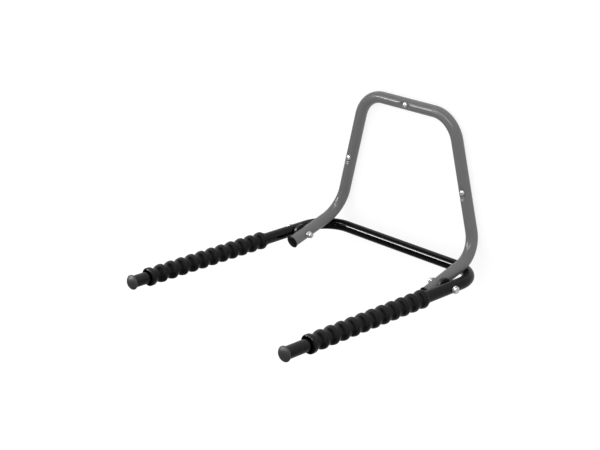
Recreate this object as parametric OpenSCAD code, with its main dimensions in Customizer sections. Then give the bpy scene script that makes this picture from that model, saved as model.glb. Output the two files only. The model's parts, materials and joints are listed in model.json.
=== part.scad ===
/* [Tubes] */
// Outer diameter of both bent steel tubes
tube_d = 25; // [22:0.5:28]
// Wall of both tubes
tube_wall = 1.5; // [1:0.1:2.5]
// Radius of every bend, measured to the middle of the tube
bend_r = 65; // [55:1:75]

/* [Wall frame] */
// Width across the two upper corners, measured where the straight lines would meet
top_w = 246; // [220:1:280]
// Distance between the middles of the two feet
foot_spread = 389; // [360:1:440]
// Height from the top bar down to the lower corners
frame_drop = 276; // [240:1:340]
// Distance from the wall to the ends of the feet
foot_reach = 158; // [142:1:180]
// Height from the top screw down to the two lower screws
screw_drop = 151; // [130:1:170]

/* [Folding arms] */
// Distance from the wall to the ends of the arm tubes
arm_reach = 562; // [480:1:640]
// Distance from the ends of the feet back to the pivot bolts
pivot_inset = 35.5; // [32:0.5:42]
// Clear space between the crossbar and the wall
bar_clear = 13.5; // [8:0.5:18]

/* [Pivots] */
// Diameter of the pivot bolts
bolt_d = 8; // [6:1:9]
// Width across the flats of the bolt heads and nuts
hex_af = 13; // [13:0.5:16]
// Height of a bolt head
head_h = 5.3; // [4:0.1:7]
// Height of a locking nut, with its round collar
nut_h = 8; // [6.5:0.5:10]
// Outer diameter of a washer
washer_d = 16; // [16:0.5:20]
// Thickness of a washer
washer_t = 1.6; // [1:0.1:2.5]
// Diameter of the round spacer between a foot and an arm
spacer_d = 32; // [26:1:38]
// Thickness of the spacer where the two tubes are closest
spacer_t = 5.5; // [3:0.5:10]
// How far the spacer's saddle reaches round the foot
saddle = 2; // [0.5:0.5:4]
// Thread that stands past a nut
thread_past = 2.5; // [1:0.5:6]

/* [Sleeves] */
// Number of full ribs on a sleeve
rib_count = 11; // [6:1:11]
// Distance from one rib to the next
rib_pitch = 26.8; // [22:0.2:28]
// Diameter over the ribs
rib_d = 38; // [34:0.5:42]
// Wall of the sleeve
sleeve_wall = 1.6; // [1.2:0.1:2.4]
// Share of each wave that belongs to the valley
valley_share = 0.4; // [0.15:0.01:0.5]
// Length of the smooth collar at the front of a sleeve
collar_len = 6; // [2:0.5:12]
// Length of the cuff at the back of a sleeve
cuff_len = 2; // [1:0.5:6]
// Bare tube in front of the left sleeve
bare_left = 34; // [20:1:60]
// Bare tube in front of the right sleeve
bare_right = 52; // [20:1:60]

/* [Plugs] */
// Diameter of the domed plugs in the arms
plug_d = 31; // [27:0.5:34]
// Height of a domed plug
plug_h = 12.5; // [8:0.5:16]
// Roundness of the plug's rim
plug_edge = 3.3; // [1:0.1:3.5]
// Diameter of the low caps on the feet
cap_d = 28.5; // [25:0.5:32]
// Height of a low cap
cap_t = 5; // [3.5:0.5:6]
// Roundness of a low cap's edge
cap_edge = 1.4; // [0.5:0.1:1.6]
// Depth that plugs and caps reach into the tubes
spigot_len = 18; // [10:1:30]
// Wall of the spigots
spigot_wall = 2; // [1.5:0.1:3]

/* [Wall screws] */
// Depth of the pressed seat round each wall screw
seat_depth = 4; // [2:0.5:5]
// Diameter of the flat floor of a seat
seat_d = 15; // [13:0.5:17]
// Radius between the floor and the slope of a seat
seat_fillet = 5; // [2:0.5:8]
// Radius of the soft lip of a seat
seat_lip = 12; // [6:0.5:16]
// Diameter of the holes for the wall screws
screw_hole_d = 6.6; // [6:0.1:8]
// Diameter of a wall screw over its thread
screw_d = 6; // [4.5:0.1:6]
// Diameter of a screw's plain shank
shank_d = 5; // [3.6:0.1:5.5]
// Diameter of a screw's head
screw_head_d = 12.5; // [10:0.5:14]
// Height of a screw's head
screw_head_h = 4; // [2.5:0.1:5]
// Length of screw that goes into the wall
screw_reach = 40; // [30:1:60]
// Length of a screw's pointed tip
tip_len = 6; // [4:0.5:10]
// Length of the arms of the cross recess
recess_len = 6; // [4:0.5:8]
// Width of the arms of the cross recess
recess_w = 1.2; // [0.8:0.1:1.6]
// Depth of the cross recess
recess_deep = 2; // [1:0.1:3]

/* [Clearances] */
// Space between a turning tube and what stays still
run_gap = 0.3; // [0.2:0.05:0.5]
// Radial play of the pivot bolts in the arms
pivot_play = 0.08; // [0.03:0.01:0.1]
// Radial play of bolts in the feet, washers and spacers
hole_play = 0.2; // [0.1:0.05:0.4]
// Play between pieces that are pushed together
push_fit = 0.1; // [0.05:0.05:0.3]
// Space between a round tube and the flat piece that is seated on it
seat_gap = 0.1; // [0.05:0.05:0.3]

/* [Hidden] */
$fn = 64;

frame_grey = [0.42, 0.43, 0.44];
arm_black = [0.09, 0.09, 0.1];
rubber_black = [0.13, 0.13, 0.13];
plastic_black = [0.16, 0.16, 0.17];
zinc = [0.78, 0.79, 0.8];

// The origin is on the wall behind the top screw: +X right, +Y into the wall, +Z up
tube_r = tube_d / 2;
bore_r = tube_r - tube_wall;
bolt_r = bolt_d / 2;

// The nearest angle whose sine and cosine still make a unit vector when they are cut to six
// decimals, so that a bend and the straight after it meet without a step
angle_steps = 200;
angle_step = 0.0001;
function short(v) = round(v * 1000000) / 1000000;
function off_unit(a) = abs(norm([short(cos(a)), short(sin(a))]) - 1);
function clean_angle(a) =
    let (tries = [for (i = [-angle_steps:angle_steps]) a + i * angle_step],
         best = min([for (t = tries) off_unit(t)]))
    [for (t = tries) if (off_unit(t) == best) t][0];

// Widths of the two halves; the legs splay at the clean angle nearest to the stated widths
top_half = top_w / 2;
upper_turn = clean_angle(atan2(frame_drop, foot_spread / 2 - top_half));
foot_half = top_half + frame_drop / tan(upper_turn);
arm_half = foot_half + tube_d + spacer_t + run_gap;
bar_y = -(bar_clear + tube_r);
pivot_reach = foot_reach - pivot_inset;

// Directions along the right leg and along the right foot at a slope
leg_dir = [cos(upper_turn), 0, -sin(upper_turn)];
function foot_dir(slope) = [0, -cos(slope), -sin(slope)];
function pivot_z_at(slope) = -frame_drop - (pivot_reach - tube_r) * tan(slope);

// A point on the middle of the right leg's lower bend, an angle past its start
function lower_bend(slope, past) =
    let (to = foot_dir(slope),
         turn = acos(leg_dir * to),
         inward = (to - leg_dir * cos(turn)) / sin(turn),
         start = [foot_half, -tube_r, -frame_drop] - leg_dir * bend_r * tan(turn / 2))
    start + leg_dir * bend_r * sin(past) + inward * bend_r * (1 - cos(past));

// Distance from that point to the middle of the level arms' rear corner
function to_arm(p, slope) =
    let (corner = [arm_half - bend_r, bar_y - bend_r],
         across = norm([p.x, p.y] - corner) - bend_r)
    norm([across, p.z - pivot_z_at(slope)]);

// The feet slope so that the crossbar meets them from below when the arms are level;
// the slope is found by halving the range between the flattest and the steepest foot
stop_distance = tube_d + run_gap;
flattest = 2;
steepest = 40;
halvings = 20;
bend_samples = 40;
function stop_at(slope) =
    let (turn = acos(leg_dir * foot_dir(slope)))
    min([for (i = [0:bend_samples])
        to_arm(lower_bend(slope, turn * (1 + i / bend_samples) / 2), slope)]);
function solve_slope(low, high, rounds) =
    let (middle = (low + high) / 2)
    rounds == 0 ? middle
    : stop_at(middle) < stop_distance ? solve_slope(middle, high, rounds - 1)
    : solve_slope(low, middle, rounds - 1);
foot_slope = solve_slope(flattest, steepest, halvings);
pivot_z = pivot_z_at(foot_slope);

// The bend out of the leg into the foot: how far it turns, and which way it faces
lower_turn = clean_angle(acos(leg_dir * foot_dir(foot_slope)));
lower_roll = clean_angle(atan2(-cos(foot_slope), sin(foot_slope) * leg_dir.x));
upper_set = bend_r * tan(upper_turn / 2);
lower_set = bend_r * tan(lower_turn / 2);
leg_len = frame_drop / sin(upper_turn);
foot_len = (foot_reach - tube_r) / cos(foot_slope);

// The frame's right half and the arms' right half, as straight, turn and roll
frame_path = [[top_half - upper_set, upper_turn, 0],
              [leg_len - upper_set - lower_set, lower_turn, lower_roll],
              [foot_len - lower_set, 0, 0]];
arm_path = [[arm_half - bend_r, 90, 0],
            [arm_reach + bar_y - bend_r, 0, 0]];

// A press leaves a dish with walls that are steepest at one angle and run out at another
seat_steep = 40;
seat_runout = 12;

// Sleeve waves: round ribs joined by tighter valleys, each an arc that flows into the next
rib_r = rib_d / 2;
valley_r = tube_r + push_fit + sleeve_wall;
wave_h = rib_r - valley_r;
wave_sum = (wave_h * wave_h + rib_pitch * rib_pitch / 4) / (2 * wave_h);
valley_arc = wave_sum * valley_share;
rib_arc = wave_sum - valley_arc;
wave_tilt = asin(rib_pitch / 2 / wave_sum);
sleeve_len = collar_len + rib_pitch * (rib_count + 0.5) + cuff_len;

// Small shapes on the bolts, nuts, spacers and screws
hex_face_r = hex_af * 0.475;
collar_h = nut_h * 0.35;
collar_r = hex_af * 0.45;
collar_mouth_r = hex_af * 0.38;
point_len = 0.8;
spacer_edge = 0.8;
screw_head_edge = screw_head_h * 0.3;
screw_tip_d = 0.6;

// Places along a pivot's axis, out from the middle plane of the rack
foot_in = foot_half - tube_r;
foot_out = foot_half + tube_r;
nut_washer_at = foot_in - seat_gap - washer_t;
bolt_end = nut_washer_at - nut_h - thread_past;
head_washer_at = arm_half + tube_r + run_gap;
head_at = head_washer_at + washer_t;

screw_places = [[0, 0], [-leg_x(screw_drop), -screw_drop], [leg_x(screw_drop), -screw_drop]];
function leg_x(drop) = top_half + (foot_half - top_half) * drop / frame_drop;

module both_sides() {
    children();
    mirror([1, 0, 0]) children();
}

// One bend that starts at the origin along +Z and turns towards +X, trimmed square at its end
module bend(turn, r) {
    over = 5;
    difference() {
        translate([bend_r, 0, 0])
            rotate([90, 0, 180])
                rotate_extrude(angle=turn + over)
                    translate([bend_r, 0]) circle(r=r);
        past_bend(turn) translate([-bend_r / 2, -bend_r / 2, 0]) cube([bend_r, bend_r, bend_r / 2]);
    }
}

module past_bend(turn) {
    translate([bend_r, 0, 0]) rotate([0, turn, 0]) translate([-bend_r, 0, 0]) children();
}

// Follows a path of straights and bends from the origin; extra lengthens the last straight
module run(path, r, extra=0, i=0) {
    last = i == len(path) - 1;
    cylinder(r=r, h=path[i][0] + (last ? extra : 0));
    if (!last)
        translate([0, 0, path[i][0]])
            rotate([0, 0, path[i][2]]) {
                bend(path[i][1], r);
                past_bend(path[i][1]) run(path, r, extra, i + 1);
            }
}

module frame_run(r, extra=0) {
    both_sides() translate([0, -tube_r, 0]) rotate([0, 90, 0]) run(frame_path, r, extra);
}

module arm_run(r, extra=0) {
    both_sides()
        translate([0, bar_y, pivot_z]) rotate([-90, 0, 0]) rotate([0, 90, 0]) run(arm_path, r, extra);
}

// Outline of the dish that the press leaves, from its flat floor out over a soft lip;
// skin is how far the outline lies inside the steel
function dish_outline(skin) =
    let (floor_r = seat_d / 2,
         fillet_at = [floor_r, seat_fillet],
         lip_at = fillet_at + (seat_fillet + seat_lip) * [sin(seat_steep), -cos(seat_steep)],
         steps = 6)
    concat([[0, -skin]],
           [for (i = [0:steps]) let (a = seat_steep * i / steps)
               fillet_at + (seat_fillet + skin) * [sin(a), -cos(a)]],
           [for (i = [1:steps]) let (a = seat_steep + (seat_runout - seat_steep) * i / steps)
               lip_at + (seat_lip - skin) * [-sin(a), cos(a)]]);

// Everything in front of the dish, for cutting the tube's skin or, with a skin, its bore
module pressed_seat(skin=0) {
    outline = dish_outline(skin);
    mouth = outline[len(outline) - 1];
    past = mouth + tube_wall * [3, 1];
    translate([0, -tube_d + seat_depth, 0])
        rotate([90, 0, 0])
            rotate_extrude()
                polygon(concat(outline, [past, [past.x, tube_r], [0, tube_r]]));
}

module at_screws() {
    for (p = screw_places) translate([p.x, 0, p.y]) children();
}

module at_pivot(side) {
    translate([0, -pivot_reach, pivot_z]) mirror([side < 0 ? 1 : 0, 0, 0]) rotate([0, 90, 0]) children();
}

// Bent frame of one tube: pressed and drilled for the wall screws, drilled for the pivots
module wall_frame() {
    color(frame_grey)
        difference() {
            frame_run(tube_r);
            difference() {
                frame_run(bore_r, 1);
                at_screws() pressed_seat(tube_wall);
            }
            at_screws() {
                pressed_seat();
                translate([0, 1, 0]) rotate([90, 0, 0]) cylinder(d=screw_hole_d, h=tube_d + 2);
            }
            for (side = [-1, 1])
                at_pivot(side)
                    translate([0, 0, foot_half - tube_r - 1]) cylinder(r=bolt_r + hole_play, h=tube_d + 2);
        }
}

// Bent U of one tube, drilled for the pivots
module fold_arm() {
    color(arm_black)
        difference() {
            arm_run(tube_r);
            arm_run(bore_r, 1);
            for (side = [-1, 1])
                at_pivot(side)
                    translate([0, 0, arm_half - tube_r - 1]) cylinder(r=bolt_r + pivot_play, h=tube_d + 2);
        }
}

// Outline of a sleeve's outer skin, or with skin > 0 of its inside, from front to back
function wave_outline(skin) =
    let (first = collar_len, steps = 5)
    concat([[rib_r - skin, 0]],
           [for (w = [0:rib_count])
               let (crest = first + w * rib_pitch, last = w == rib_count)
               each concat(
                   [for (i = [-steps:steps]) let (a = wave_tilt * i / steps)
                       if ((w > 0 || i >= 0))
                           [rib_r - rib_arc + (rib_arc - skin) * cos(a), crest + (rib_arc - skin) * sin(a)]],
                   [for (i = [1 - steps:last ? 0 : steps - 1]) let (a = wave_tilt * i / steps)
                       [valley_r + valley_arc - (valley_arc + skin) * cos(a),
                        crest + rib_pitch / 2 + (valley_arc + skin) * sin(a)]])],
           [[valley_r - skin, sleeve_len]]);

// Hollow ribbed sleeve, open at its flared front, standing on +Z
module sleeve_shape() {
    outer = wave_outline(0);
    inner = wave_outline(sleeve_wall);
    rotate_extrude()
        polygon(concat(outer, [for (i = [len(inner) - 1:-1:0]) inner[i]]));
}

module sleeve(side, bare) {
    color(rubber_black)
        translate([side * arm_half, -arm_reach + bare, pivot_z]) rotate([-90, 0, 0]) sleeve_shape();
}
module sleeve_left() sleeve(-1, bare_left);
module sleeve_right() sleeve(1, bare_right);

// Outline of a domed head on the X axis: a round rim that flows into a flatter dome
module button_outline(d, h, edge) {
    rim_x = d / 2 - edge;
    rise = h - 2 * edge;
    lean = (rim_x * rim_x - rise * rise) / (2 * rise);
    dome_r = h - edge + lean;
    touch_x = rim_x + edge * rim_x / norm([rim_x, lean]);
    square([rim_x, edge]);
    intersection() {
        translate([rim_x, edge]) circle(r=edge);
        translate([rim_x - edge, 0]) square([2 * edge, 2 * edge]);
    }
    intersection() {
        translate([0, h - dome_r]) circle(r=dome_r);
        translate([0, edge]) square([touch_x, h]);
    }
}

// Plug on +Z that closes a tube: a domed head on the tube's end at the origin, and a hollow spigot
module plug_shape(d, h, edge) {
    spigot_r = bore_r - push_fit;
    rotate_extrude() {
        button_outline(d, h, edge);
        translate([spigot_r - spigot_wall, -spigot_len]) square([spigot_wall, spigot_len]);
    }
}

module arm_plug(side) {
    color(plastic_black)
        translate([side * arm_half, -arm_reach, pivot_z])
            rotate([90, 0, 0]) plug_shape(plug_d, plug_h, plug_edge);
}
module arm_plug_left() arm_plug(-1);
module arm_plug_right() arm_plug(1);

module foot_cap(side) {
    end = [side * foot_half, -foot_reach, -frame_drop - (foot_reach - tube_r) * tan(foot_slope)];
    color(plastic_black)
        translate(end) rotate([90 + foot_slope, 0, 0]) plug_shape(cap_d, cap_t, cap_edge);
}
module foot_cap_left() foot_cap(-1);
module foot_cap_right() foot_cap(1);

// Hexagon on +Z with its far corners turned off at 30 degrees
module hexagon(h) {
    intersection() {
        cylinder(d=hex_af / cos(30), h=h, $fn=6);
        cylinder(r1=hex_face_r + h / tan(30), r2=hex_face_r, h=h);
    }
}

module pivot_bolt(side) {
    color(zinc)
        at_pivot(side) {
            translate([0, 0, head_at]) hexagon(head_h);
            translate([0, 0, bolt_end + point_len]) cylinder(r=bolt_r, h=head_at - bolt_end - point_len);
            translate([0, 0, bolt_end]) cylinder(r1=bolt_r - point_len, r2=bolt_r, h=point_len);
        }
}
module pivot_bolt_left() pivot_bolt(-1);
module pivot_bolt_right() pivot_bolt(1);

// Locking nut: a hexagon, and a round collar that holds the locking ring
module pivot_nut(side) {
    color(zinc)
        at_pivot(side)
            translate([0, 0, nut_washer_at])
                mirror([0, 0, 1])
                    difference() {
                        union() {
                            hexagon(nut_h - collar_h);
                            translate([0, 0, nut_h - collar_h])
                                rotate_extrude()
                                    polygon([[0, 0], [collar_r, 0], [collar_r, collar_h / 2],
                                             [collar_mouth_r, collar_h], [0, collar_h]]);
                        }
                        translate([0, 0, -1]) cylinder(r=bolt_r + push_fit, h=nut_h + 2);
                    }
}
module pivot_nut_left() pivot_nut(-1);
module pivot_nut_right() pivot_nut(1);

module washer(side, at) {
    color(zinc)
        at_pivot(side)
            translate([0, 0, at])
                difference() {
                    cylinder(d=washer_d, h=washer_t);
                    translate([0, 0, -1]) cylinder(r=bolt_r + hole_play, h=washer_t + 2);
                }
}
module head_washer_left() washer(-1, head_washer_at);
module head_washer_right() washer(1, head_washer_at);
module nut_washer_left() washer(-1, nut_washer_at);
module nut_washer_right() washer(1, nut_washer_at);

// Round spacer: a shallow saddle sits on the foot, and the arm turns against its flat face
module spacer(side) {
    length = spacer_t + saddle;
    color(plastic_black)
        at_pivot(side)
            difference() {
                translate([0, 0, foot_out - saddle])
                    rotate_extrude()
                        polygon([[bolt_r + hole_play, 0],
                                 [spacer_d / 2 - spacer_edge, 0], [spacer_d / 2, spacer_edge],
                                 [spacer_d / 2, length - spacer_edge], [spacer_d / 2 - spacer_edge, length],
                                 [bolt_r + hole_play, length]]);
                translate([0, 0, foot_half])
                    rotate([0, 0, foot_slope]) rotate([90, 0, 0])
                        cylinder(r=tube_r + seat_gap, h=2 * spacer_d, center=true);
            }
}
module spacer_left() spacer(-1);
module spacer_right() spacer(1);

// Pan-head wood screw along +Y with a cross recess; its head sits on the floor of the dish
module wall_screw(place) {
    floor_y = tube_d - seat_depth;
    color(zinc)
        translate([place.x, 0, place.y])
            rotate([-90, 0, 0]) {
                difference() {
                    translate([0, 0, -floor_y])
                        mirror([0, 0, 1])
                            rotate_extrude()
                                button_outline(screw_head_d, screw_head_h, screw_head_edge);
                    translate([0, 0, -floor_y - screw_head_h])
                        for (turn = [0, 90])
                            rotate([0, 0, turn])
                                translate([-recess_len / 2, -recess_w / 2, -1])
                                    cube([recess_len, recess_w, 1 + recess_deep]);
                }
                translate([0, 0, -floor_y]) cylinder(d=shank_d, h=floor_y);
                cylinder(d=screw_d, h=screw_reach - tip_len);
                translate([0, 0, screw_reach - tip_len]) cylinder(d1=screw_d, d2=screw_tip_d, h=tip_len);
            }
}
module wall_screw_top() wall_screw(screw_places[0]);
module wall_screw_left() wall_screw(screw_places[1]);
module wall_screw_right() wall_screw(screw_places[2]);

wall_frame();
foot_cap_left();
foot_cap_right();
wall_screw_top();
wall_screw_left();
wall_screw_right();
fold_arm();
sleeve_left();
sleeve_right();
arm_plug_left();
arm_plug_right();
spacer_left();
spacer_right();
pivot_bolt_left();
pivot_bolt_right();
head_washer_left();
head_washer_right();
nut_washer_left();
nut_washer_right();
pivot_nut_left();
pivot_nut_right();
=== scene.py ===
# %% [markdown]
# # A folding wall rack made of bent steel tube
#
# A grey tube frame is screwed flat to a wall. A black U of the same tube turns on two bolts
# through the feet of the frame and carries two ribbed rubber sleeves. The sizes come from the
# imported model, which is loaded first and never changed. This notebook gives it its finishes, makes
# the pieces whose detail is too fine for that model, and sets up a plain studio round it.

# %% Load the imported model
import json
import math
import bpy
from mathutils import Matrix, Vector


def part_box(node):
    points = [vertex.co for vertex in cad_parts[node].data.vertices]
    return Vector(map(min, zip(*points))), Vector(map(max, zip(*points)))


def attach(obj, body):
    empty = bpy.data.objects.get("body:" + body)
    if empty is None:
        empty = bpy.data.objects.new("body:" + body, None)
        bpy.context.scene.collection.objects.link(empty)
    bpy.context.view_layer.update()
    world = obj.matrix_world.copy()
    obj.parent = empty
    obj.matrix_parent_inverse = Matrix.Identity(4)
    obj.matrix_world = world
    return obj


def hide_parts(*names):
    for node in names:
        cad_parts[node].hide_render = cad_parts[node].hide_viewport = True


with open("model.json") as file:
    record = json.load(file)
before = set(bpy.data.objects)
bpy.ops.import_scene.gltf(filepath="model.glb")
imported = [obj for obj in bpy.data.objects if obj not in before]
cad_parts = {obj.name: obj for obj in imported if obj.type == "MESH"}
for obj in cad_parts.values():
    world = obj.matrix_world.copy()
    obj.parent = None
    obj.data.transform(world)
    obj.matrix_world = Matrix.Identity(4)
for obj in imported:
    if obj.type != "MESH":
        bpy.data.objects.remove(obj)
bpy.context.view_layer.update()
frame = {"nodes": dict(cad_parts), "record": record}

print("nodes", sorted(frame["nodes"]))

# %% [markdown]
# ## Places that everything else is set against
#
# Lengths in this notebook are metres, the scene's own unit. A few places are read from the boxes
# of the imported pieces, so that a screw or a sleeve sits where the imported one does.

# %% Read the places
MM = 0.001


def middle(node):
    """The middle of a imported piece."""
    low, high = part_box(node)
    return (low + high) / 2


def size(node):
    """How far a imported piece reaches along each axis."""
    low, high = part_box(node)
    return high - low


wall_screw_nodes = ["wall_screw_top", "wall_screw_left", "wall_screw_right"]
screw_places = [middle(node) for node in wall_screw_nodes]
pivot = middle("pivot_bolt_right")
arm_x = middle("sleeve_right").x
print("pivot", [round(v, 5) for v in pivot], "arms at", round(arm_x, 5))

# %% [markdown]
# ## Shader maths that reads like maths
#
# A material is a graph of nodes. Wrapping a socket in a small class lets a mask be written as
# `1 - wear * 0.5` instead of five lines of node making, and one method adds every other node.


# %% Wrap a socket and a sheet of nodes
class Signal:
    """An output socket that can be calculated with. Each operator adds one Math node."""

    def __init__(self, tree, socket):
        self.tree = tree
        self.socket = socket

    def maths(self, operation, first, second):
        node = self.tree.nodes.new("ShaderNodeMath")
        node.operation = operation
        for entry, value in zip(node.inputs, (first, second)):
            if isinstance(value, Signal):
                self.tree.links.new(value.socket, entry)
            else:
                entry.default_value = value
        return Signal(self.tree, node.outputs[0])

    def __add__(self, other):
        return self.maths("ADD", self, other)

    def __sub__(self, other):
        return self.maths("SUBTRACT", self, other)

    def __rsub__(self, other):
        return self.maths("SUBTRACT", other, self)

    def __mul__(self, other):
        return self.maths("MULTIPLY", self, other)

    __radd__ = __add__
    __rmul__ = __mul__


class Sheet:
    """The nodes of one material or of the world."""

    def __init__(self, owner):
        owner.use_nodes = True
        self.owner = owner
        self.tree = owner.node_tree
        self.tree.nodes.clear()

    def add(self, kind, settings=None, values=None, output=0):
        """A node by its type: its settings come first, then values or links for its sockets. A
        socket goes by its name, or by its number where several share a name."""
        node = self.tree.nodes.new("ShaderNode" + kind)
        for name, value in (settings or {}).items():
            setattr(node, name, value)
        for name, value in (values or {}).items():
            if isinstance(value, Signal):
                self.tree.links.new(value.socket, node.inputs[name])
            else:
                node.inputs[name].default_value = value
        return Signal(self.tree, node.outputs[output] if node.outputs else None)


print("shader helpers ready")

# %% [markdown]
# ## Patterns that the finishes share
#
# Every pattern is read from Object coordinates. All pieces lie unturned at the origin, so these
# are real metres on the rack, and a grain of one millimetre is one millimetre on every piece.


# %% Make the shared patterns
MIX_SHARE, MIX_FIRST, MIX_SECOND, MIX_RESULT = 0, 6, 7, 2  # a Mix node's sockets for colours


def grey(value, warm=0.0):
    """A linear colour from one number, slightly warmer or cooler if wanted."""
    return (value * (1 + warm), value, value * (1 - warm), 1.0)


def position(sheet):
    """Where a point lies on the rack, in metres."""
    return sheet.add("TexCoord", output="Object")


def noise(sheet, where, grain, detail=2.0):
    """Soft random values whose blotches are about one grain wide, in metres."""
    return sheet.add("TexNoise", None, {"Vector": where, "Scale": 1 / grain, "Detail": detail})


def step(sheet, value, low, high):
    """0 below the low value and 1 above the high one, with a soft step between."""
    return sheet.add("MapRange", {"interpolation_type": "SMOOTHSTEP"},
                     {"Value": value, "From Min": low, "From Max": high})


def mix(sheet, share, first, second):
    """Mixes two colours by a share."""
    return sheet.add("Mix", {"data_type": "RGBA"},
                     {MIX_SHARE: share, MIX_FIRST: first, MIX_SECOND: second}, output=MIX_RESULT)


def part_of(sheet, vector, axis):
    """One number of a vector, by the name of its axis."""
    return sheet.add("SeparateXYZ", None, {"Vector": vector}, output=axis)


def stretch(sheet, where, factors):
    """Multiplies a place axis by axis. A small factor draws a pattern out along that axis."""
    return sheet.add("VectorMath", {"operation": "MULTIPLY"}, {0: where, 1: factors})


def distance(sheet, where, place, keep):
    """Distance from a place, measured only along the axes that are kept."""
    flat = stretch(sheet, where, keep)
    fixed = tuple(p * k for p, k in zip(place, keep))
    return sheet.add("VectorMath", {"operation": "DISTANCE"}, {0: flat, 1: fixed}, output="Value")


def least(values):
    """The smallest of some signals, such as the distance to the nearest of some places."""
    found = values[0]
    for value in values[1:]:
        found = found.maths("MINIMUM", found, value)
    return found


def close(sheet, relief, depth, fixed, varied):
    """Ends a material: one main shader, and a bump whose full height is so many metres."""
    bump = sheet.add("Bump", None, {"Height": relief, "Distance": depth})
    shader = sheet.add("BsdfPrincipled", None, {**fixed, **varied, "Normal": bump})
    sheet.add("OutputMaterial", None, {"Surface": shader})
    print("finish", sheet.owner.name, len(sheet.tree.nodes), "nodes")
    return sheet.owner


def new_sheet(name):
    """An empty sheet for a new material."""
    return Sheet(bpy.data.materials.new(name))


print("patterns ready")

# %% [markdown]
# ## Grey powder coat on the wall frame
#
# Powder is sprayed on dry and melts in an oven. It flows into a fine orange peel about a
# millimetre across, so the surface is satin: highlights are soft and slightly broken. The grey
# itself is nearly even. One noise for everything would look like sandpaper, so the peel and the
# finer grit are a shallow bump, and wide soft clouds only shift the tone and the gloss a little.
# Where a screw head was turned down in its dish, and where the spacers rub, the coat is polished
# and a little darker, so a mask grows from the distance to those places.

# %% Mix the grey coat
FRAME_GREY = 0.172
sheet = new_sheet("frame_powder_coat")
where = position(sheet)
peel = noise(sheet, where, 1.6 * MM, 1.0)
grit = noise(sheet, where, 0.35 * MM, 1.0)
cloud = noise(sheet, where, 60 * MM, 3.0)
handled = step(sheet, noise(sheet, where, 22 * MM, 4.0), 0.58, 0.72)
to_screw = least([distance(sheet, where, place, (1, 0, 1)) for place in screw_places])
to_pivot = distance(sheet, where, pivot, (0, 1, 1))
near_screw = 1 - step(sheet, to_screw, 6.3 * MM, 7.6 * MM)
near_pivot = 1 - step(sheet, to_pivot, 8.0 * MM, 10.5 * MM)
rubbed = (near_screw + near_pivot) * step(sheet, noise(sheet, where, 1.2 * MM, 3.0), 0.35, 0.6)
speckle = step(sheet, grit, 0.66, 0.74)
tone = mix(sheet, cloud, grey(FRAME_GREY * 0.95, -0.004), grey(FRAME_GREY * 1.05, 0.004))
tone = mix(sheet, speckle * 0.10, tone, grey(FRAME_GREY * 1.6))
tone = mix(sheet, handled * 0.06, tone, grey(FRAME_GREY * 0.75))
tone = mix(sheet, rubbed * 0.35, tone, grey(FRAME_GREY * 0.55))
gloss = 0.25 + (cloud - 0.5) * 0.08 - handled * 0.03 - rubbed * 0.06
frame_coat = close(sheet, peel * 0.8 + grit * 0.2, 0.010 * MM, {"Specular IOR Level": 0.20},
                   {"Base Color": tone, "Roughness": gloss})

# %% [markdown]
# ## Black gloss coat on the folding U
#
# The U wears a harder, shinier black. It mirrors the studio: bright edges from the wall behind it
# and a thin white line from a long lamp in front. Its colour is almost nothing, so all its looks
# come from roughness, a shallow orange peel, and a few fine lengthwise rub marks.

# %% Mix the black coat
ARM_BLACK = 0.0012
BARED_BLACK = 0.012  # where the black is scuffed or rubbed
sheet = new_sheet("arm_gloss_coat")
where = position(sheet)
peel = noise(sheet, where, 2.2 * MM, 1.0)
cloud = noise(sheet, where, 45 * MM, 3.0)
along_arm = noise(sheet, stretch(sheet, where, (1.0, 0.02, 1.0)), 0.5 * MM, 2.0)
scuffs = step(sheet, along_arm, 0.70, 0.78) * step(sheet, cloud, 0.52, 0.64)
to_pivot = distance(sheet, where, pivot, (0, 1, 1))
near_pivot = 1 - step(sheet, to_pivot, 8.2 * MM, 11 * MM)
rubbed = near_pivot * step(sheet, noise(sheet, where, 0.9 * MM), 0.4, 0.6)
tone = mix(sheet, cloud, grey(ARM_BLACK * 0.8), grey(ARM_BLACK * 1.25, 0.01))
tone = mix(sheet, scuffs * 0.3, tone, grey(BARED_BLACK))
tone = mix(sheet, rubbed * 0.4, tone, grey(BARED_BLACK))
gloss = 0.14 + (cloud - 0.5) * 0.04 + scuffs * 0.12 + rubbed * 0.12
arm_coat = close(sheet, peel, 0.0015 * MM, {"Specular IOR Level": 0.25},
                 {"Base Color": tone, "Roughness": gloss})

# %% [markdown]
# ## Rubber of the ribbed sleeves
#
# The sleeves are soft moulded rubber, satin, with a fine stipple from the mould. The tops of the
# ribs are touched by tyres and hands, so they are a trace smoother and greyer with dust, while
# the valleys keep the deep black. How far a point lies from the arm's middle line tells rib from
# valley. A thin parting line from the two halves of the mould runs along each side.

# %% Mix the rubber
RUBBER_BLACK = 0.0030
DUSTY_BLACK = 0.012
sheet = new_sheet("ribbed_sleeve_rubber")
where = position(sheet)
stipple = noise(sheet, where, 0.45 * MM, 2.0)
cloud = noise(sheet, where, 18 * MM, 3.0)
off_axis = least([distance(sheet, where, (side * arm_x, 0, pivot.z), (1, 0, 1))
                  for side in (-1, 1)])
crest = step(sheet, off_axis, 17.2 * MM, 19.0 * MM)
dust = step(sheet, noise(sheet, where, 4 * MM, 4.0), 0.45, 0.75)
height = part_of(sheet, where, "Z") - pivot.z
parting = 1 - step(sheet, height.maths("ABSOLUTE", height, 0.0), 0.10 * MM, 0.35 * MM)
tone = mix(sheet, cloud, grey(RUBBER_BLACK * 0.85), grey(RUBBER_BLACK * 1.2, 0.01))
tone = mix(sheet, crest * dust * 0.15, tone, grey(DUSTY_BLACK, 0.02))
gloss = 0.21 - crest * 0.02 + dust * 0.06 + (cloud - 0.5) * 0.06
sleeve_coat = close(sheet, stipple * 0.6 + parting, 0.008 * MM, {"Specular IOR Level": 0.20},
                    {"Base Color": tone, "Roughness": gloss})

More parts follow.
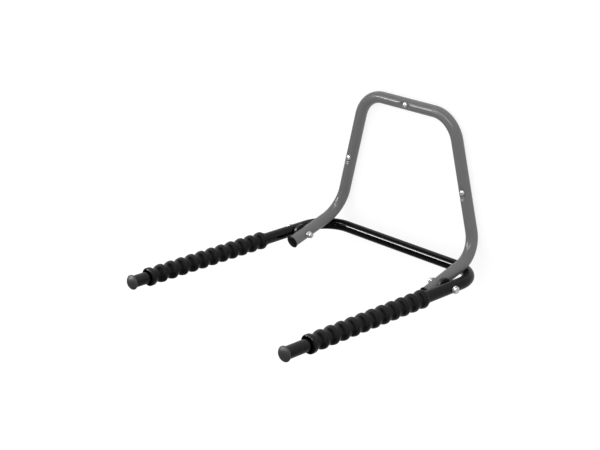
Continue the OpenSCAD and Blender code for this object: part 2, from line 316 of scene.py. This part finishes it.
# %% [markdown]
# ## Moulded plastic of the plugs, caps and spacers
#
# Three plastics come from one recipe, given the colour, the gloss and how strongly it mirrors. The
# plugs in the arms and the caps on the feet are one plastic in two copies: the plugs' copy is a dark
# grey, waxy one with painted light in its colour, and the caps' copy a near-black, shiny one with
# painted shade in its colour. The spacers are a greyer nylon. All have faint flow marks from the
# mould and a few pale nicks.


# %% Mix the plastics
def moulded_plastic(name, tone_value, gloss_value, depth, shine):
    """Plastic from a mould. The depth is that of its texture, and shine is how much it mirrors."""
    sheet = new_sheet(name)
    where = position(sheet)
    texture = noise(sheet, where, 0.5 * MM, 2.0)
    cloud = noise(sheet, where, 12 * MM, 3.0)
    flow = noise(sheet, stretch(sheet, where, (1.0, 0.15, 1.0)), 3 * MM, 3.0)
    nicks = step(sheet, noise(sheet, where, 1.1 * MM, 3.0), 0.68, 0.76)
    tone = mix(sheet, cloud, grey(tone_value * 0.85), grey(tone_value * 1.2))
    tone = mix(sheet, nicks * 0.25, tone, grey(tone_value * 2.5))
    gloss = gloss_value + (flow - 0.5) * 0.12 + nicks * 0.12
    return close(sheet, texture * 0.6 + flow * 0.4, depth, {"Specular IOR Level": shine},
                 {"Base Color": tone, "Roughness": gloss})


# The plugs' tone is painted light and the caps' tone is painted shade; both stand for one plastic.
painted_light_plugs = moulded_plastic("painted_light_plug_material", 0.037, 0.46, 0.012 * MM, 0.50)
painted_shade_caps = moulded_plastic("painted_shade_cap_material", 0.0015, 0.25, 0.006 * MM, 0.30)
spacer_plastic = moulded_plastic("dark_spacer_plastic", 0.018, 0.42, 0.020 * MM, 0.40)

# %% [markdown]
# ## Zinc on the screws, bolts, nuts and washers
#
# Bright zinc plating on turned and pressed steel: a cool metal whose roughness varies in small
# patches. Fine rings from turning are on every face that is round about its own axis, so the
# rings follow the distance from that axis. The screws point into the wall and the bolts lie
# across it, so each gets the recipe with its own axes.


# %% Mix the zinc
def zinc_plate(name, places, keep, gloss_value):
    """Zinc with fine rings round some places, seen along the axis that isn't kept."""
    sheet = new_sheet(name)
    where = position(sheet)
    off_axis = least([distance(sheet, where, place, keep) for place in places])
    ring_wide = 0.22 * MM
    rings = sheet.add("TexNoise", {"noise_dimensions": "1D"},
                      {"W": off_axis, "Scale": 1 / ring_wide})
    patch = noise(sheet, where, 2.6 * MM, 3.0)
    grain = noise(sheet, where, 0.3 * MM, 2.0)
    dull = step(sheet, noise(sheet, where, 1.4 * MM, 4.0), 0.55, 0.75)
    tone = mix(sheet, patch, grey(0.66, -0.01), grey(0.78, -0.004))
    tone = mix(sheet, dull * 0.30, tone, grey(0.46, 0.01))
    gloss = gloss_value + patch * 0.08 + dull * 0.14
    return close(sheet, rings * 0.5 + grain * 0.5, 0.012 * MM, {"Metallic": 1.0},
                 {"Base Color": tone, "Roughness": gloss})


screw_zinc = zinc_plate("screw_zinc", screw_places, (1, 0, 1), 0.50)
bolt_zinc = zinc_plate("bolt_zinc", [pivot], (0, 1, 1), 0.32)

# %% [markdown]
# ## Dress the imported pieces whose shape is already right
#
# The bent tubes, caps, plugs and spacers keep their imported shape, because that shape is exact.
# Only the material in their slots changes.

# %% Hand out the finishes
dressed = {
    "wall_frame": frame_coat,
    "fold_arm": arm_coat,
    "foot_cap_left": painted_shade_caps,
    "foot_cap_right": painted_shade_caps,
    "arm_plug_left": painted_light_plugs,
    "arm_plug_right": painted_light_plugs,
    "spacer_left": spacer_plastic,
    "spacer_right": spacer_plastic,
}
for node, material in dressed.items():
    mesh = frame["nodes"][node].data
    for index in range(len(mesh.materials)):
        mesh.materials[index] = material
print("dressed", len(dressed), "packed pieces")

# %% [markdown]
# ## Tools for turning
#
# Most small pieces of the rack are round, as if made on a lathe. They could be stacked from
# cylinders, but then every step would need a cut or a weld. Instead, half of the section is drawn
# as a chain of points, each extruded from the last, and spun round the Z axis. Pieces are made
# standing on the Z axis and laid in place afterwards, because operators are easiest to aim there.

# %% Make the turning tools
WELD = 1e-6  # points nearer than this are one point


def nothing_selected():
    """Leaves edit mode and deselects everything, because operators act on all that is selected."""
    if bpy.context.mode != "OBJECT":
        bpy.ops.object.mode_set(mode="OBJECT")
    bpy.ops.object.select_all(action="DESELECT")


def only(piece):
    """Selects one piece alone and makes it the active one."""
    nothing_selected()
    piece.select_set(True)
    bpy.context.view_layer.objects.active = piece


def select_faces(piece, test):
    """Opens edit mode with just the faces selected that pass a test."""
    only(piece)
    bpy.ops.object.mode_set(mode="EDIT")
    bpy.ops.mesh.select_mode(type="FACE")
    bpy.ops.mesh.select_all(action="DESELECT")
    bpy.ops.object.mode_set(mode="OBJECT")
    for face in piece.data.polygons:
        face.select = test(face)
    bpy.ops.object.mode_set(mode="EDIT")


def tidy_shell():
    """In edit mode: welds what touches and turns every face outwards."""
    bpy.ops.mesh.select_all(action="SELECT")
    bpy.ops.mesh.remove_doubles(threshold=WELD)
    bpy.ops.mesh.normals_make_consistent(inside=False)


def chain(name, points):
    """A chain of edges in the XZ plane through points of (radius, height)."""
    nothing_selected()
    bpy.ops.mesh.primitive_plane_add(size=MM)
    piece = bpy.context.object
    piece.name = piece.data.name = name
    bpy.ops.object.mode_set(mode="EDIT")
    bpy.ops.mesh.select_mode(type="VERT")
    bpy.ops.mesh.merge(type="CENTER")
    bpy.ops.transform.translate(value=(points[0][0], 0, points[0][1]))
    for before, after in zip(points, points[1:]):
        move = (after[0] - before[0], 0, after[1] - before[1])
        bpy.ops.mesh.extrude_region_move(TRANSFORM_OT_translate={"value": move})
    return piece


def turned(name, points, steps=48):
    """Spins a section of (radius, height) points once round the Z axis into a closed shell."""
    piece = chain(name, points)
    bpy.ops.mesh.select_all(action="SELECT")
    bpy.ops.mesh.spin(steps=steps, angle=math.tau, center=(0, 0, 0), axis=(0, 0, 1))
    tidy_shell()
    bpy.ops.object.mode_set(mode="OBJECT")
    return piece


print("turning tools ready")

# %% [markdown]
# ## A tool for threads
#
# A thread is one V-shaped section that climbs by its pitch in each turn. A Screw modifier winds it
# up, and neighbouring turns are welded into one skin. The wound skin has ragged ends, so it is
# made a turn too long at each end and cut square. The cut mustn't pull nearby points onto its
# plane, because on a fine thread those are further round the same turn.

# %% Make the thread tool
HAIR = 1e-7  # a cut or a fine weld reaches no further than this


def threaded(name, root, crest, pitch, start, end, steps=40):
    """A right-hand thread on the Z axis: one pitch of its section is wound up by a Screw modifier,
    and both ends are cut square and closed."""
    section = [(root, 0), (root, 0.12 * pitch), (crest, 0.44 * pitch), (crest, 0.56 * pitch),
               (root, 0.88 * pitch), (root, pitch)]
    turns = math.ceil((end - start) / pitch) + 2
    piece = chain(name, [(radius, height + start - pitch) for radius, height in section])
    bpy.ops.object.mode_set(mode="OBJECT")
    winding = piece.modifiers.new("winding", "SCREW")
    winding.axis = "Z"
    winding.screw_offset = pitch
    winding.iterations = turns
    winding.steps = winding.render_steps = steps
    bpy.ops.object.modifier_apply(modifier=winding.name)
    bpy.ops.object.mode_set(mode="EDIT")
    bpy.ops.mesh.select_all(action="SELECT")
    bpy.ops.mesh.remove_doubles(threshold=WELD)
    for height, beyond in ((start, False), (end, True)):
        bpy.ops.mesh.select_all(action="SELECT")
        bpy.ops.mesh.bisect(plane_co=(0, 0, height), plane_no=(0, 0, 1), use_fill=True,
                            clear_inner=not beyond, clear_outer=beyond, threshold=HAIR)
    tidy_shell()
    bpy.ops.object.mode_set(mode="OBJECT")
    return piece


print("thread tool ready")

# %% [markdown]
# ## Tools for cutting, copying and placing
#
# A Boolean modifier joins two shells or cuts one by the other. The exact solver is slower than the
# fast one, and it is used because it copes with faces that nearly coincide. What repeats on the
# rack is made once, and each copy has its own mesh, with its place in the mesh and its object
# unturned at the origin.

# %% Make the cutting and placing tools
SMOOTH_BELOW = math.radians(32)  # flatter edges than this are shaded smooth


def combine(piece, other, operation):
    """Cuts, keeps or adds another piece's shape, uses that piece up, and welds the seam."""
    only(piece)
    cut = piece.modifiers.new("cut", "BOOLEAN")
    cut.operation = operation
    cut.solver = "EXACT"
    cut.object = other
    bpy.ops.object.modifier_apply(modifier=cut.name)
    bpy.data.objects.remove(other)
    bpy.ops.object.mode_set(mode="EDIT")
    bpy.ops.mesh.select_all(action="SELECT")
    bpy.ops.mesh.remove_doubles(threshold=HAIR)
    bpy.ops.object.mode_set(mode="OBJECT")
    return piece


def copy_of(piece, name):
    """A copy of a piece that has a mesh of its own."""
    only(piece)
    bpy.ops.object.duplicate(linked=False)
    twin = bpy.context.object
    twin.name = twin.data.name = name
    return twin


def lay(piece, turn, place):
    """Turns and moves a piece that stands on the Z axis, and fixes that in its mesh."""
    only(piece)
    piece.rotation_euler = turn
    piece.location = place
    bpy.ops.object.transform_apply(location=True, rotation=True, scale=True)


def hand_over(piece, node, body, material):
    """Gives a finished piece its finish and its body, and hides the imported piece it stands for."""
    only(piece)
    piece.data.materials.clear()
    piece.data.materials.append(material)
    bpy.ops.object.shade_smooth_by_angle(angle=SMOOTH_BELOW)
    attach(piece, body)
    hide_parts(node)
    print(piece.name, "for", node, len(piece.data.polygons), "faces")


INTO_WALL = (math.radians(-90), 0, 0)
TO_RIGHT = (0, math.radians(90), 0)
TO_LEFT = (0, math.radians(-90), 0)
print("placing tools ready")

# %% [markdown]
# ## Wall screws: head and shank
#
# A pan-head wood screw: a low round head with a cross recess, a plain shank through the tube, and
# a coarse thread in the wall. The head and the shank are one turned piece. The dome's points lie
# closer together towards the rim, where it bends most.

# %% Turn the head and the shank of the first screw
head_r = size("wall_screw_top").x / 2
head_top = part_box("wall_screw_top")[0].y
screw_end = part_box("wall_screw_top")[1].y
head_under = head_top + 4.0 * MM
shank_r, thread_r, core_r = 2.45 * MM, 2.98 * MM, 2.05 * MM
screw_pitch = 2.2 * MM
dome = [(0, head_top), (2.0 * MM, head_top + 0.08 * MM), (3.6 * MM, head_top + 0.42 * MM),
        (4.7 * MM, head_top + 0.95 * MM), (5.5 * MM, head_top + 1.65 * MM),
        (head_r - 0.25 * MM, head_top + 2.4 * MM), (head_r, head_top + 3.1 * MM),
        (head_r - 0.08 * MM, head_top + 3.6 * MM), (head_r - 0.5 * MM, head_under)]
neck = [(shank_r + 0.5 * MM, head_under), (shank_r, head_under + 0.5 * MM), (shank_r, 1.0 * MM),
        (core_r, 2.0 * MM), (core_r, 6.0 * MM), (0, 6.0 * MM)]
screw = turned("wall_screw_first", dome + neck)
print("screw head radius", round(head_r / MM, 2), "mm")

# %% [markdown]
# ## Wall screws: the cross
#
# The driver's recess is a cross whose arms narrow with depth. One arm is a box whose far end is
# scaled down, the other is its copy at a right angle, and both together are cut out of the head.
# A bump couldn't do this, because the recess is deep enough to hold its own shadow.

# %% Cut the cross recess
recess_top = head_top - 0.5 * MM
recess_deep, recess_wide, blade_thick = 2.6 * MM, 6.2 * MM, 1.3 * MM
nothing_selected()
bpy.ops.mesh.primitive_cube_add(size=1, location=(0, 0, recess_top + recess_deep / 2),
                                scale=(recess_wide, blade_thick, recess_deep))
recess = bpy.context.object
bpy.ops.object.transform_apply(location=True, scale=True)
select_faces(recess, lambda face: face.normal.z > 0.9)
bpy.ops.transform.resize(value=(0.55, 0.8, 1), center_override=(0, 0, recess_top + recess_deep))
bpy.ops.object.mode_set(mode="OBJECT")
other_arm = copy_of(recess, "recess_across")
lay(other_arm, (0, 0, math.radians(90)), (0, 0, 0))
combine(recess, other_arm, "UNION")
combine(screw, recess, "DIFFERENCE")
print("recess", recess_wide / MM, "mm wide,", recess_deep / MM, "mm deep")

# %% [markdown]
# ## Wall screws: thread and point
#
# The thread is a real winding and not a bump, because it shows from behind. Its point is made by
# keeping only what lies inside a pointed cone.

# %% Wind the thread and add it
thread = threaded("thread_blank", core_r - 0.03 * MM, thread_r, screw_pitch,
                  1.5 * MM, screw_end - 0.2 * MM)
tip = turned("thread_envelope", [(0, 0), (2.2 * MM, 0), (thread_r + 0.01 * MM, 3.5 * MM),
                                 (thread_r + 0.01 * MM, screw_end - 7.0 * MM),
                                 (0.3 * MM, screw_end), (0, screw_end)])
combine(thread, tip, "INTERSECT")
combine(screw, thread, "UNION")
print("screw", len(screw.data.polygons), "faces")

# %% [markdown]
# ## Set the three screws in their dishes
#
# One screw was made; the others are copies with their own meshes. Each is turned by a different
# angle about its own axis, because no two screws stop with their recess pointing the same way.

# %% Copy and place the screws
for node, place, degrees in zip(wall_screw_nodes, screw_places, (20, 65, 38)):
    piece = copy_of(screw, node + "_detailed")
    lay(piece, (0, 0, math.radians(degrees)), (0, 0, 0))
    lay(piece, INTO_WALL, (place.x, 0, place.z))
    hand_over(piece, node, "frame", screw_zinc)
bpy.data.objects.remove(screw)

# %% [markdown]
# ## Hexagons for the bolts and the nuts
#
# A real hexagon is chamfered on a lathe, so the slope cuts the six corners and leaves the flats
# whole. A bevel would treat every edge alike. So a six-sided cylinder is made first, and a turned
# shape with a sloping shoulder keeps only what lies inside it.

# %% Make the hexagon tool
flats = size("pivot_bolt_right").y


def hexagon(name, start, end, shoulder):
    """A hexagon on the Z axis whose corners are turned off at the end, by a shoulder's slope."""
    nothing_selected()
    bpy.ops.mesh.primitive_cylinder_add(vertices=6, radius=flats / math.sqrt(3),
                                        depth=abs(end - start), location=(0, 0, (start + end) / 2))
    piece = bpy.context.object
    piece.name = piece.data.name = name
    bpy.ops.object.transform_apply(location=True, rotation=True, scale=True)
    bpy.ops.object.mode_set(mode="EDIT")
    bpy.ops.mesh.select_all(action="SELECT")
    bpy.ops.mesh.bevel(offset=0.12 * MM, segments=2, affect="EDGES")
    bpy.ops.object.mode_set(mode="OBJECT")
    way = 1 if end > start else -1
    beyond = start - way * MM
    envelope = turned(name + "_envelope", shoulder(end, way) + [(flats, beyond), (0, beyond)])
    return combine(piece, envelope, "INTERSECT")


def shoulder_foot(end, way, flat_r):
    """A point outside the hexagon, down a 30 degree shoulder from the rim of a flat top."""
    return flats, end - way * (flats - flat_r) * math.tan(math.radians(30))


print("hexagon", round(flats / MM, 2), "mm across its flats")

# %% [markdown]
# ## Pivot bolts
#
# Hexagon bolts of 8 mm, with a shallow dish on top of the head. The shank is plain where the arm
# turns on it and threaded where the nut goes, and a short cone joins the two. Both bolts are
# alike, so the left one is a copy that is laid the other way.

# %% Make and place the pivot bolts
bolt_in, bolt_out = (corner.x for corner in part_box("pivot_bolt_right"))
washer_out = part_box("head_washer_right")[1].x
bolt_r, root_r, bolt_pitch = 4.0 * MM, 3.32 * MM, 1.25 * MM
thread_end = bolt_in + 22 * MM


def dished_top(end, way):
    """The turned end of a bolt head: a shallow hollow, a rounded rim and a sloping shoulder."""
    hollow = end - way * 0.45 * MM
    return [(0, hollow), (3.6 * MM, hollow), (4.2 * MM, end - way * 0.08 * MM), (4.6 * MM, end),
            (6.0 * MM, end), (6.3 * MM, end - way * 0.1 * MM), shoulder_foot(end, way, 6.3 * MM)]


bolt = hexagon("pivot_bolt_first", washer_out, bolt_out, dished_top)
shank = turned("shank_blank", [
    (0, washer_out + 0.2 * MM), (bolt_r - 0.03 * MM, washer_out + 0.2 * MM),
    (bolt_r - 0.03 * MM, thread_end + 1.2 * MM), (3.35 * MM, thread_end),
    (3.35 * MM, thread_end - MM), (0, thread_end - MM)])
thread = threaded("bolt_thread", root_r, bolt_r - 0.02 * MM, bolt_pitch, bolt_in, thread_end)
tip = turned("bolt_envelope", [
    (0, bolt_in), (3.2 * MM, bolt_in), (bolt_r, bolt_in + 0.8 * MM), (bolt_r, thread_end + MM),
    (0, thread_end + MM)])
combine(thread, tip, "INTERSECT")
combine(shank, thread, "UNION")
combine(bolt, shank, "UNION")
for turn, node in ((TO_RIGHT, "pivot_bolt_right"), (TO_LEFT, "pivot_bolt_left")):
    piece = copy_of(bolt, node + "_detailed")
    lay(piece, turn, (0, pivot.y, pivot.z))
    hand_over(piece, node, "frame", bolt_zinc)
bpy.data.objects.remove(bolt)

# %% [markdown]
# ## Locking nuts
#
# A locking nut is a hexagon with a round collar pressed over a nylon ring that grips the thread.
# The hexagon is made by the same tool as the bolt head, the collar is turned and added to it, and
# the bore is cut through both, with a groove for the ring. The ring is a turned piece of its own.

# %% Make the first nut
nut_in, nut_out = (corner.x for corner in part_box("pivot_nut_right"))
HEXAGON_SHARE = 0.65
hex_h = (nut_out - nut_in) * HEXAGON_SHARE
collar_end = nut_in + ((nut_out - nut_in) - hex_h)


def plain_top(end, way):
    """The turned end of a nut: flat, with a sloping shoulder."""
    return [(0, end), (6.0 * MM, end), shoulder_foot(end, way, 6.0 * MM)]


nut = hexagon("pivot_nut_first", nut_out, nut_out - hex_h, plain_top)
collar = turned("collar_blank", [
    (0, nut_in), (4.9 * MM, nut_in), (5.35 * MM, nut_in + 0.12 * MM),
    (5.75 * MM, nut_in + 0.5 * MM), (5.85 * MM, nut_in + 1.1 * MM),
    (5.85 * MM, collar_end - 0.3 * MM), (6.1 * MM, collar_end), (6.1 * MM, collar_end + 0.5 * MM),
    (0, collar_end + 0.5 * MM)])
combine(nut, collar, "UNION")
bore = turned("bore", [
    (0, nut_in - MM), (4.8 * MM, nut_in - MM), (4.8 * MM, nut_in + 0.8 * MM),
    (5.2 * MM, nut_in + 0.9 * MM), (5.2 * MM, nut_in + 2.4 * MM), (4.1 * MM, nut_in + 2.5 * MM),
    (4.1 * MM, nut_out - 0.5 * MM), (4.7 * MM, nut_out + 0.1 * MM), (4.7 * MM, nut_out + MM),
    (0, nut_out + MM)])
combine(nut, bore, "DIFFERENCE")
ring = turned("nylon_ring_first", [
    (4.06 * MM, nut_in + 1.2 * MM), (4.35 * MM, nut_in + 0.95 * MM),
    (5.15 * MM, nut_in + 0.95 * MM), (5.15 * MM, nut_in + 2.3 * MM),
    (4.06 * MM, nut_in + 2.3 * MM), (4.06 * MM, nut_in + 1.2 * MM)])
print("nut", round((nut_out - nut_in) / MM, 2), "mm high,", len(nut.data.polygons), "faces")

# %% [markdown]
# The nylon is pale and half matt, with a faint cloud in it. Each nut is turned by its own angle,
# because a nut stops wherever it is tight. Its ring is round, so it needs no such turn.

# %% Mix the nylon and place the nuts
sheet = new_sheet("nylon_ring")
where = position(sheet)
cloud = noise(sheet, where, 1.5 * MM, 3.0)
nylon = close(sheet, cloud, 0.02 * MM, {},
              {"Base Color": mix(sheet, cloud, grey(0.42, 0.03), grey(0.55, 0.02)),
               "Roughness": 0.38 + (cloud - 0.5) * 0.2})
for turn, node, degrees in ((TO_RIGHT, "pivot_nut_right", 12), (TO_LEFT, "pivot_nut_left", 27)):
    piece = copy_of(nut, node + "_detailed")
    lay(piece, (0, 0, math.radians(degrees)), (0, 0, 0))
    lay(piece, turn, (0, pivot.y, pivot.z))
    hand_over(piece, node, "frame", bolt_zinc)
    insert = copy_of(ring, "nylon_ring_" + node.split("_")[-1])
    lay(insert, turn, (0, pivot.y, pivot.z))
    hand_over(insert, node, "frame", nylon)
bpy.data.objects.remove(nut)
bpy.data.objects.remove(ring)

# %% [markdown]
# ## Washers
#
# A stamped washer has one rounded rim, on the side where the punch came in, and one sharp rim. A
# plain ring would show the same bright line on both. So the section is drawn as a closed loop,
# each rim with its own points, and spun.

# %% Make and place the washers
for node in ("head_washer_right", "nut_washer_right", "head_washer_left", "nut_washer_left"):
    low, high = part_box(node)
    near, far = (low.x, high.x) if low.x > 0 else (-high.x, -low.x)
    rim, hole = size(node).y / 2, 4.2 * MM
    washer = turned(node + "_detailed", [
        (hole, near), (rim - 0.05 * MM, near), (rim, near + 0.08 * MM), (rim, far - 0.5 * MM),
        (rim - 0.12 * MM, far - 0.2 * MM), (rim - 0.4 * MM, far - 0.02 * MM), (rim - 0.6 * MM, far),
        (hole + 0.25 * MM, far), (hole, far - 0.25 * MM), (hole, near)], 72)
    lay(washer, TO_RIGHT if low.x > 0 else TO_LEFT, (0, pivot.y, pivot.z))
    body = "arm" if node in frame["record"]["behaviour"]["bodies"]["arm"] else "frame"
    hand_over(washer, node, body, bolt_zinc)

# %% [markdown]
# ## Ribbed sleeves
#
# Each sleeve is one thin-walled moulding: a beaded front lip, a row of round ribs with narrower
# valleys between them, and a cuff that grips the tube at the back. A row of rings could be joined
# into it, but the wall would be uneven and the seams would show. So the section is one chain of
# arcs, out along the ribs and back along the inside, and it is spun. The ribs lean back a little,
# which makes them steep behind and gentle in front. The bead runs round the front lip, where the
# rubber is thicker, and its edge catches the light.

# %% Draw the section of a sleeve
tube_r = 12.5 * MM
rib_r = size("sleeve_right").z / 2
sleeve_long = size("sleeve_right").y
pitch, ribs, collar_len = 26.8 * MM, 11, 6 * MM
rubber_thick = 1.6 * MM
valley_r = tube_r + 0.1 * MM + rubber_thick
wave_h = rib_r - valley_r
both_arcs = (wave_h ** 2 + pitch ** 2 / 4) / (2 * wave_h)
VALLEY_SHARE = 0.4  # of the two radii together
valley_arc = both_arcs * VALLEY_SHARE
rib_arc = both_arcs - valley_arc
tilt = math.asin(pitch / 2 / both_arcs)
ARC_STEPS = 10
LEAN = 1.9 * MM


def lean(radius, along):
    """Moves each crest back along the sleeve, so that a rib is steep behind and gentle in front."""
    turns = (along - collar_len) / pitch
    return radius, along + LEAN * (math.cos(math.tau * turns) + 0.5 * min(turns, 1))


def wave(skin):
    """A sleeve's ribs from front to back as points of (radius, distance), for its outer skin or
    for one that lies so deep inside it."""
    points = []
    for rib in range(ribs + 1):
        top = collar_len + rib * pitch
        for i in range(-ARC_STEPS if rib else 0, ARC_STEPS + 1):
            angle = tilt * i / ARC_STEPS
            points.append((rib_r - rib_arc + (rib_arc - skin) * math.cos(angle),
                           top + (rib_arc - skin) * math.sin(angle)))
        for i in range(1 - ARC_STEPS, 1 if rib == ribs else ARC_STEPS):
            angle = tilt * i / ARC_STEPS
            points.append((valley_r + valley_arc - (valley_arc + skin) * math.cos(angle),
                           top + pitch / 2 + (valley_arc + skin) * math.sin(angle)))
    return [lean(radius, along) for radius, along in points]


lip = [(rib_r - inward * MM, back * MM) for inward, back in (
    (2.0, 4.6), (2.7, 4.2), (3.1, 3.5), (3.3, 2.6), (3.3, 1.4), (3.1, 0.6), (2.7, 0.1), (2.2, 0.0),
    (1.6, 0.35), (0.5, 1.7), (0.1, 2.3), (0.0, 3.1), (0.1, 4.2))]
cuff = [(valley_r, sleeve_long - 0.5 * MM), (valley_r - 0.15 * MM, sleeve_long - 0.1 * MM),
        (valley_r - 0.5 * MM, sleeve_long), (valley_r - rubber_thick + 0.3 * MM, sleeve_long),
        (valley_r - rubber_thick, sleeve_long - 0.3 * MM)]
section = lip + wave(0.0) + cuff + wave(rubber_thick)[::-1] + [lip[0]]
print("sleeve section", len(section), "points, rib radius", round(rib_r / MM, 2), "mm")

# %% [markdown]
# The section is spun once, and the second sleeve is a copy with its own mesh.

# %% Spin and place the sleeves
sleeve = turned("sleeve_first", section, 72)
for node in ("sleeve_right", "sleeve_left"):
    low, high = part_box(node)
    piece = copy_of(sleeve, node + "_detailed")
    lay(piece, INTO_WALL, (middle(node).x, low.y, middle(node).z))
    hand_over(piece, node, "arm", sleeve_coat)
bpy.data.objects.remove(sleeve)

# %% [markdown]
# ## A plain studio: white wall, pale floor
#
# The rack hangs on a wall, so a white wall stands right behind it and hides the parts of the
# screws that are in it. Both the wall and the floor are one-sided: from behind or below they let
# the view through, so the back of the rack can be looked at. They glow for the camera and for
# reflections, which keeps the background white, and a share of ordinary shading keeps the soft
# shadow. In reflections the wall is paler high up than low down, and the floor is nearly dark,
# because it lies far below in the shade of the room. Light itself passes through both, so they
# don't darken or tint the rack.

# %% Build the wall and the floor
JUST_WHITE = 1.1  # the shaded share and the glow together, so that the paper comes out white


def ray_kinds(sheet):
    """1 for a ray from the camera, one from a mirror reflection, and one that went through."""
    return [sheet.add("LightPath", output=name)
            for name in ("Is Camera Ray", "Is Glossy Ray", "Is Transmission Ray")]


def studio_paper(name, shaded, low, high):
    """White paper for the camera: a shaded share, and a glow. In reflections the glow is weaker,
    and it grows from low to high with the height in the room."""
    sheet = new_sheet(name)
    camera_ray, glossy_ray, through_ray = ray_kinds(sheet)
    back = sheet.add("NewGeometry", output="Backfacing")
    height = part_of(sheet, position(sheet), "Z")
    mirrored = step(sheet, height, -0.6, 0.8) * (high - low) + low
    strength = (camera_ray + through_ray) * (JUST_WHITE - shaded) + glossy_ray * mirrored
    glow = sheet.add("Emission", None, {"Color": grey(1.0), "Strength": strength})
    paper = sheet.add("BsdfDiffuse", None, {"Color": grey(shaded)})
    front = sheet.add("AddShader", None, {0: glow, 1: paper})
    clear = sheet.add("BsdfTransparent")
    seen = least([camera_ray + glossy_ray + through_ray, 1.0]) * (1 - back)
    surface = sheet.add("MixShader", None, {0: seen, 1: clear, 2: front})
    sheet.add("OutputMaterial", None, {"Surface": surface})
    return sheet.owner


FLOOR_Z = -1.15
for name, place, turn, spread, shaded, low, high in (
        ("studio_wall", (0, 0.4 * MM, 1.0), (math.radians(90), 0, 0), (6.0, 4.3), 0.30, 0.31, 1.00),
        ("studio_floor", (0, -2.6, FLOOR_Z), (0, 0, 0), (6.0, 5.2), 0.15, 0.02, 0.02)):
    nothing_selected()
    bpy.ops.mesh.primitive_plane_add(size=1, location=place, rotation=turn)
    plane = bpy.context.object
    plane.name = plane.data.name = name
    plane.scale = (spread[0], spread[1], 1)
    bpy.ops.object.transform_apply(location=True, rotation=True, scale=True)
    plane.data.materials.append(studio_paper(name + "_paper", shaded, low, high))
    print(name, "faces", [round(v, 2) for v in plane.data.polygons[0].normal])

# %% [markdown]
# ## Light from all round
#
# The world gives an even grey light, a little stronger from above. Mirror reflections see a white
# wall behind the rack and a dim room in front of it, paler to the right, which is what draws the
# dark tube with bright edges. Many soft lamps could do the same, but one world with a few steps in
# it is easier to set and leaves little noise.

# %% Set the world
world = bpy.data.worlds.new("studio")
bpy.context.scene.world = world
sheet = Sheet(world)
camera_ray, glossy_ray, through_ray = ray_kinds(sheet)
way = sheet.add("TexCoord", output="Generated")  # in a world, this is the way a ray goes
sideways, towards_wall, upwards = (part_of(sheet, way, axis) for axis in "XYZ")
ambient = mix(sheet, step(sheet, upwards, -1.0, 1.0), grey(0.74), grey(0.84))
in_front = mix(sheet, step(sheet, sideways, 0.0, 0.6), grey(0.05), grey(0.36))
mirrored = mix(sheet, step(sheet, towards_wall, -0.10, 0.10), in_front, grey(1.0))
light = mix(sheet, glossy_ray, ambient, mirrored)
light = mix(sheet, camera_ray + through_ray, light, grey(1.0))
background = sheet.add("Background", None, {"Color": light, "Strength": 1.0})
sheet.add("OutputWorld", None, {"Surface": background})
print("world", len(sheet.tree.nodes), "nodes")

# %% [markdown]
# ## Lamps
#
# A long lamp to the front left puts the thin white line on the crossbar, and a dimmer strip above
# it gives the soft glow over that line. A wider one further off draws the glints on the bends. The
# lamp overhead only shades the tops, without a reflection. Every lamp's long side lies level along
# X, so that its reflection runs along the crossbar.


# %% Hang the lamps
def lamp(name, place, tilt, width, height, strength, shades=True, mirrors=True):
    """A rectangular lamp of a given brightness, tilted from straight down towards the wall; its
    power follows from its area. A lamp that doesn't shade is only seen in reflections, and one
    that doesn't mirror only shades."""
    data = bpy.data.lights.new(name, "AREA")
    data.shape = "RECTANGLE"
    data.size, data.size_y = width, height
    data.energy = strength * math.pi * width * height
    thing = bpy.data.objects.new(name, data)
    bpy.context.scene.collection.objects.link(thing)
    thing.location = place
    thing.rotation_euler = (math.radians(tilt), 0, 0)
    thing.visible_camera = False
    thing.visible_diffuse = shades
    thing.visible_glossy = mirrors
    print(name, round(data.energy, 2), "W")


lamp("long_lamp", (-1.09, -1.2, 0.35), 64.5, 0.62, 0.24, 52.0, shades=False)
lamp("dim_strip", (-1.06, -0.95, 0.68), 43, 0.9, 0.50, 1.5)
lamp("overhead_lamp", (-0.1, -0.7, 1.4), 15, 0.5, 0.4, 4.5, mirrors=False)
lamp("glint_lamp", (-0.2, -2.05, 1.75), 48, 3.2, 0.26, 24.0, shades=False)

# %% [markdown]
# ## Camera
#
# The camera stands to the right of the rack and above it, and looks down on it with a long lens.
# Its place was found by lining up the outline of the rack with the photograph.

# %% Place the camera
LOOKING_DOWN, FROM_THE_SIDE = 20.31, 47.03  # degrees
camera_data = bpy.data.cameras.new("camera")
camera_data.sensor_width = 36.0
camera_data.lens = 83.82
camera = bpy.data.objects.new("camera", camera_data)
bpy.context.scene.collection.objects.link(camera)
camera.location = (1.8878, -2.0762, 0.7665)
camera.rotation_euler = (math.radians(90 - LOOKING_DOWN), 0, math.radians(FROM_THE_SIDE))
bpy.context.scene.camera = camera
bpy.context.scene.view_settings.view_transform = "Standard"
print("camera at", tuple(round(v, 3) for v in camera.location), "looking down", LOOKING_DOWN)
